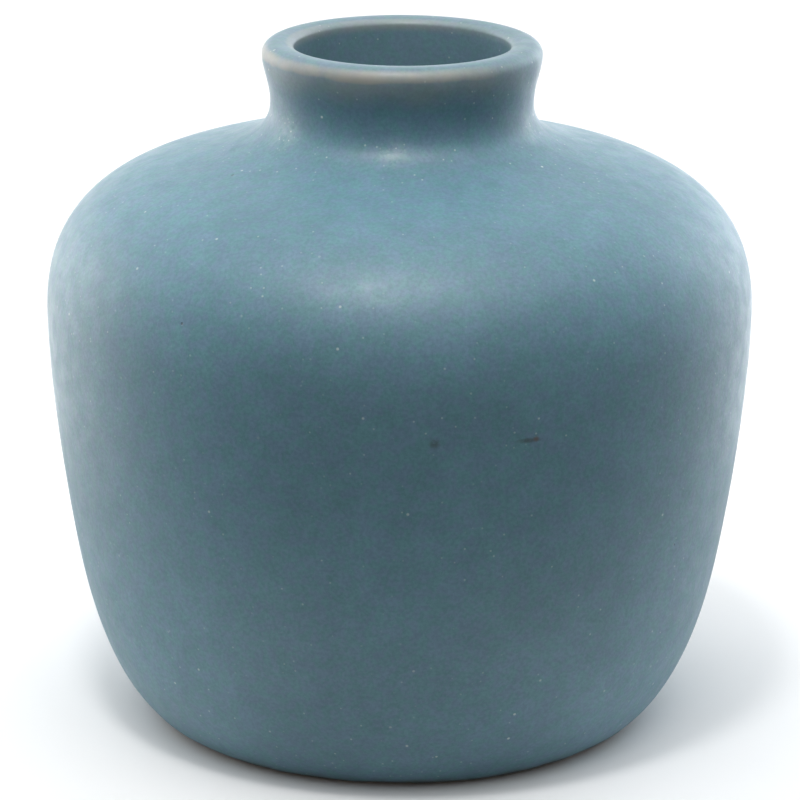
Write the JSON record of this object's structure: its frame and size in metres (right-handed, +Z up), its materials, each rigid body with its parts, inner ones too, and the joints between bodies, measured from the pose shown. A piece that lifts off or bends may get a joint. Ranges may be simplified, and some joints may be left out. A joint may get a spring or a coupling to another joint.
{
  "type": "ceramic bud vase",
  "caption": "Squat bud vase with wide rounded shoulders, a short flared neck, a turned foot ring and matt blue glaze.",
  "frame": {"origin": "on the table at the centre of the foot ring", "axes": "+Z up along the axis of the pot, out of its mouth; it looks the same from every side, so X and Y are free"},
  "size_m": [0.09, 0.09, 0.0881],
  "materials": {
    "bare_stoneware": "matte",
    "blue_glaze": "satin",
    "liner_glaze": "satin"
  },
  "bodies": {
    "root": {"clay_body": "bare_stoneware", "outer_glaze": "blue_glaze", "liner_glaze": "liner_glaze", "well_glaze": "blue_glaze"}
  },
  "joints": []
}
